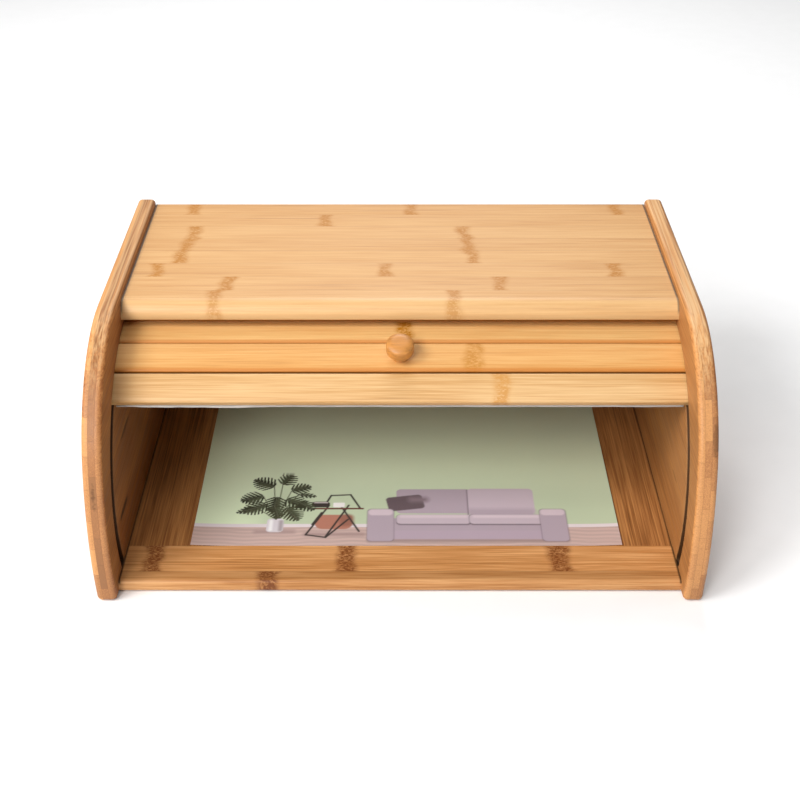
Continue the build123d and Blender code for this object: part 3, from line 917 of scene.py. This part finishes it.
def picture(u, v):
    """Printed living room, in millimetres to the side of and up from the middle of the front edge."""
    ink = np.zeros(u.shape + (3,))

    def paint(distance, colour, soft=0.35):
        cover = np.clip(0.5 - distance / soft, 0, 1)[..., None]
        ink[:] = ink * (1 - cover) + np.asarray(colour) * cover

    # painted shade and light in the print: the wall darkens towards the back, is dimmer at the front, lighter
    # at mid height and at the front left
    wall_low, wall_high = np.array((0.46, 0.53, 0.36)), np.array((0.40, 0.43, 0.31))
    t = np.clip((v - 20) / 150, 0, 1)[..., None]
    ink[:] = wall_low * (1 - t) + wall_high * t
    rise, fade = ease((v - 45) / 60), ease((v - 112) / 38)
    ink[:] *= (0.75 + 0.50 * rise - 0.20 * fade + 0.32 * ease((-u - 85) / 35) * (1 - rise))[..., None]
    paint(v - 24.5, (0.50, 0.44, 0.45))
    plank = 0.5 + 0.5 * np.sin(v * 1.5 + 2.2 * np.sin(u * 0.045) + 0.7 * np.sin(u * 0.21))
    board = np.where(v < 21, 1, 0)[..., None]
    deck = np.array((0.40, 0.285, 0.255)) * (0.86 + 0.16 * plank[..., None])
    ink[:] = ink * (1 - board) + deck * board
    for at in (5.5, 11.5, 16.8):
        paint(np.abs(v - at) - 0.18, (0.33, 0.23, 0.21), 0.5)

    # sofa
    pale, mid, deep = (0.37, 0.30, 0.335), (0.295, 0.235, 0.27), (0.13, 0.10, 0.115)
    paint(rounded(u, v, 43, 5.5, 70, 2.2, 2.0), (0.24, 0.17, 0.16), 3.5)
    paint(rounded(u, v, 20, 52, 27, 15, 4), mid)
    paint(rounded(u, v, 68, 52, 24, 15.5, 4), pale)
    paint(rounded(u, v, 68, 38, 24, 5, 3), mid, 5.0)
    paint(np.abs(u - 44.2) + np.where((v > 36) & (v < 66), -0.4, 5), deep, 0.8)
    paint(rounded(u * 0.98 + v * 0.17, v * 0.98 - u * 0.17, 8, 49, 13, 8.5, 3), (0.085, 0.058, 0.066), 1.0)
    paint(rounded(u, v, 9, 54, 7, 3.0, 2.5), (0.15, 0.105, 0.12), 5.0)
    paint(rounded(u, v, 43, 19.5, 68, 12.0, 2.0), mid)
    paint(rounded(u, v, 43, 12.0, 66, 5.0, 1.0), (0.31, 0.24, 0.285), 1.2)
    for cx, hw in ((19.5, 26.5), (71, 26.5)):
        paint(rounded(u, v, cx, 29.5, hw, 6.2, 3.2), deep, 1.4)
        paint(rounded(u, v, cx, 30.2, hw - 0.4, 5.4, 3.0), pale)
        paint(rounded(u, v, cx, 33.4, hw - 2.5, 1.6, 1.4), (0.44, 0.36, 0.39), 2.2)
    for cx, hw in ((-18, 9.5), (104, 9.5)):
        paint(rounded(u, v, cx, 23.5, hw, 19.0, 3.0), deep, 1.6)
        paint(rounded(u, v, cx, 23.5, hw - 0.4, 18.6, 3.0), mid)
        paint(rounded(u, v, cx, 38.5, hw - 1.0, 3.6, 3.0), (0.42, 0.34, 0.37), 1.5)

    # side table with a hanging cloth basket
    line, wood = (0.025, 0.018, 0.016), (0.09, 0.03, 0.022)
    paint(rounded(u, v, -50, 12.5, 21, 1.6, 1.5), (0.24, 0.16, 0.15), 5.0)
    paint(rounded(u, v, -51, 27, 13, 8.5, 6), (0.30, 0.125, 0.085), 0.8)
    paint(rounded(u, v, -42, 29, 5, 7, 4), (0.21, 0.085, 0.058), 3.0)
    for x0, y0, x1, y1 in ((-70, 12, -55, 47), (-33, 16, -47, 47), (-56, 10, -41, 47), (-60, 38, -66, 24),
                           (-70, 12, -56, 9), (-56, 9, -41, 30), (-54, 59, -40, 60), (-54, 59, -58, 47),
                           (-40, 60, -33, 44)):
        paint(stroke(u, v, x0, y0, x1, y1, 0.75), line, 0.6)
    paint(rounded(u, v, -50, 43, 20, 1.0, 0.9), wood)
    paint(rounded(u, v, -61, 48, 6.5, 3.6, 3.0), line)
    paint(rounded(u, v, -61, 50.2, 5.0, 0.8, 0.7), (0.34, 0.29, 0.28))
    paint(rounded(u, v, -48, 47.5, 4.2, 2.8, 1.2), (0.55, 0.52, 0.50))

    # pot plant
    paint(rounded(u, v, -92, 15.5, 14, 1.6, 1.4), (0.25, 0.17, 0.16), 5.0)
    paint(rounded(u, v, -92, 23.0, 6.0, 8.0, 3.2), (0.46, 0.42, 0.44))
    paint(rounded(u, v, -95, 23.0, 1.3, 6.5, 1.2), (0.60, 0.58, 0.58), 1.8)
    paint(rounded(u, v, -88, 22.5, 1.5, 6.5, 1.4), (0.27, 0.23, 0.24), 2.0)
    fronds = ((-96, 70, 150, 18, 9.5), (-90, 73, 60, 15, 8), (-83, 65, 20, 15, 8), (-103, 58, 200, 17, 9),
              (-100, 48, 212, 19, 9), (-86, 54, 330, 17, 9), (-78, 60, 350, 14, 3.4), (-85, 44, 300, 18, 9.5),
              (-107, 44, 205, 15, 4.4), (-93, 57, 265, 19, 9), (-94, 46, 285, 16, 8), (-76, 50, 320, 14, 7))
    for n, (x, y, degrees, length, width) in enumerate(fronds):
        turn = math.radians(degrees)
        paint(stroke(u, v, -92, 30, x, y, 0.35), (0.045, 0.05, 0.022), 0.6)
        shade = ((0.012, 0.013, 0.005), (0.028, 0.028, 0.012), (0.018, 0.020, 0.008))[n % 3]
        paint(leaf(u, v, x, y, turn, length, width), shade, 0.5)
        rib_x, rib_y = x + length * 0.9 * math.cos(turn), y + length * 0.9 * math.sin(turn)
        paint(stroke(u, v, x, y, rib_x, rib_y, 0.2), (0.10, 0.10, 0.07), 0.6)
        glint_x, glint_y = x + 2 * math.cos(turn + 0.8), y + 2 * math.sin(turn + 0.8)
        glint = leaf(u, v, glint_x, glint_y, turn + 0.12, length * 0.7, width * 0.35)
        paint(glint, (0.045, 0.050, 0.026), 1.6)
    return np.clip(ink * sizes().print_strength, 0, 0.92)


class BREADBOX_OT_leaflet(bpy.types.Operator):
    """Printed leaflet lying on the floor board"""
    bl_idname = "bread_box.leaflet"
    bl_label = "Leaflet"

    def execute(self, context):
        low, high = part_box("printed_leaflet")
        fine, coarse, busy = 0.00062, 0.0045, 0.084  # spacing of the points, finer over the front part
        xs = np.linspace(low.x, high.x, int((high.x - low.x) / fine) + 1)
        rows = list(np.linspace(low.y, low.y + busy, int(busy / fine) + 1))
        rows += list(np.linspace(low.y + busy, high.y, int((high.y - low.y - busy) / coarse) + 1))[1:]
        ys = np.array(rows)
        X, Y = np.meshgrid(xs, ys)
        centre = (low.x + high.x) / 2
        ink = picture((X - centre) * 1000, (Y - low.y) * 1000)
        side = np.abs(X - centre) / ((high.x - low.x) / 2)
        curl = sizes().leaflet_curl * np.clip((side - 0.8) / 0.2, 0, 1) ** 2
        n, m = X.shape
        top = np.stack([X, Y, high.z + curl], -1).reshape(-1, 3)
        under = np.stack([X, Y, low.z + curl], -1).reshape(-1, 3)
        edge = list(range(m)) + [i * m + m - 1 for i in range(1, n)]
        edge += [(n - 1) * m + j for j in range(m - 2, -1, -1)] + [i * m for i in range(n - 2, 0, -1)]
        i, j = np.meshgrid(np.arange(n - 1), np.arange(m - 1), indexing="ij")
        a = (i * m + j).ravel()
        faces = np.stack([a, a + 1, a + m + 1, a + m], -1).tolist()
        count = n * m
        verts = top.tolist() + [under[k].tolist() for k in edge]
        ring = [count + k for k in range(len(edge))]
        for k in range(len(edge)):
            nxt = (k + 1) % len(edge)
            faces.append([edge[nxt], edge[k], ring[k], ring[nxt]])
        front, right, back, left = (ring[:m], ring[m - 1:m + n - 1], ring[m + n - 2:2 * m + n - 2][::-1],
                                    [ring[0]] + ring[2 * m + n - 3:][::-1])
        faces.append([front[1]] + left + [back[1]])
        for k in range(1, m - 2):
            faces.append([front[k + 1], front[k], back[k], back[k + 1]])
        faces.append([front[m - 2], back[m - 2]] + right[::-1])
        mesh = bpy.data.meshes.new("printed_card")
        mesh.from_pydata(verts, [], faces)
        colour = mesh.color_attributes.new("ink", "FLOAT_COLOR", "POINT")
        values = np.ones((len(verts), 4))
        values[:count, :3] = ink.reshape(-1, 3)
        values[count:, :3] = (0.75, 0.74, 0.70)
        colour.data.foreach_set("color", values.ravel())
        card = add_object("printed_card", mesh)
        f = Finish("coated_card", Roughness=0.45, Specular_IOR_Level=0.25)
        tooth = f.noise(f.place(), 2600.0, 2.0)
        print_colour = f.attribute("ink", "Color")
        colour = f.mix(f.span(tooth, 0.3, 0.7, 0.0, 0.03), print_colour, (0.75, 0.75, 0.72))
        mesh.materials.append(f.cover(colour, f.span(tooth, 0.3, 0.7, 0.34, 0.46), tooth, 0.00003, 0.4))
        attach(card, CASE)
        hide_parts("printed_leaflet")
        return {"FINISHED"}


# ---------------------------------------------------------------- stage, light and camera

def area_light(name, place, target, size, power):
    lamp = bpy.data.lights.new(name, "AREA")
    lamp.shape = "DISK"
    lamp.size = size
    lamp.energy = power
    holder = add_object(name, lamp)
    holder.location = place
    holder.rotation_euler = (Vector(target) - Vector(place)).to_track_quat("-Z", "Y").to_euler()


class BREADBOX_OT_stage(bpy.types.Operator):
    """Pale floor, soft studio light and the camera"""
    bl_idname = "bread_box.stage"
    bl_label = "Stage"

    def execute(self, context):
        scene = context.scene
        scene.view_settings.view_transform = "Standard"
        floor_mesh = bpy.data.meshes.new("stage_floor")
        reach, down = 6, -0.0002
        corners = [(x * reach, y * reach, down) for x, y in ((-1, -1), (1, -1), (1, 1), (-1, 1))]
        floor_mesh.from_pydata(corners, [], [(0, 1, 2, 3)])
        floor = add_object("stage_floor", floor_mesh)
        f = Finish("stage_paper", Roughness=0.9, Specular_IOR_Level=0.1)
        mottle = f.noise(f.place(), 40.0, 2.0)
        tone = f.mix(f.span(mottle, 0.3, 0.7), [0.985 * v for v in colours().stage], colours().stage)
        floor_mesh.materials.append(f.cover(tone))
        world = bpy.data.worlds.new("studio")
        scene.world = world
        world.use_nodes = True
        sky = world.node_tree.nodes["Background"].inputs
        sky["Color"].default_value = (1.0, 1.0, 1.0, 1.0)
        sky["Strength"].default_value = 0.18
        middle = (0.0, 0.0, 0.06)
        for name, place, size, power in (("key_light", (-1.2, -1.0, 1.5), 0.9, 29.5),
                                         ("far_key_light", (-0.8, -2.0, 1.3), 0.8, 30.5),
                                         ("overhead_light", (0.0, -1.2, 2.0), 1.2, 7.8),
                                         ("back_light", (0.0, 1.3, 1.6), 1.0, 20.0),
                                         ("left_light", (-1.9, -0.1, 0.9), 1.0, 8.0),
                                         ("right_light", (1.9, -0.1, 0.9), 1.0, 4.0)):
            area_light(name, place, middle, size, power)
        lens = bpy.data.cameras.new("camera")
        lens.sensor_width = 36.0
        lens.lens = 63.0
        camera = add_object("camera", lens)
        camera.location = (0.0, -0.856, 0.5963)
        camera.rotation_euler = (math.radians(58.56), 0.0, 0.0)
        scene.camera = camera
        return {"FINISHED"}


# ---------------------------------------------------------------- sidebar and run

OPERATORS = (
    BREADBOX_OT_stage,
    BREADBOX_OT_side_panels,
    BREADBOX_OT_boards,
    BREADBOX_OT_case_screws,
    BREADBOX_OT_slats,
    BREADBOX_OT_canvas,
    BREADBOX_OT_knob,
    BREADBOX_OT_leaflet,
)


class BREADBOX_PT_sidebar(bpy.types.Panel):
    """Sizes, colours and makers of the bread box"""
    bl_idname = "BREADBOX_PT_sidebar"
    bl_label = "Bread box"
    bl_space_type = "VIEW_3D"
    bl_region_type = "UI"
    bl_category = "Bread box"

    def draw(self, context):
        for group in (context.scene.bread_box_sizes, context.scene.bread_box_colours):
            box = self.layout.box()
            for name in group.__annotations__:
                box.prop(group, name)
        for kind in OPERATORS:
            self.layout.operator(kind.bl_idname)


CLASSES = (BreadBoxSizes, BreadBoxColours, *OPERATORS, BREADBOX_PT_sidebar)


def register():
    for kind in CLASSES:
        bpy.utils.register_class(kind)
    bpy.types.Scene.bread_box_sizes = PointerProperty(type=BreadBoxSizes)
    bpy.types.Scene.bread_box_colours = PointerProperty(type=BreadBoxColours)


def unregister():
    del bpy.types.Scene.bread_box_colours
    del bpy.types.Scene.bread_box_sizes
    for kind in reversed(CLASSES):
        bpy.utils.unregister_class(kind)


def main():
    register()
    for kind in OPERATORS:
        group, name = kind.bl_idname.split(".")
        getattr(getattr(bpy.ops, group), name)()


if __name__ == "__main__":
    main()
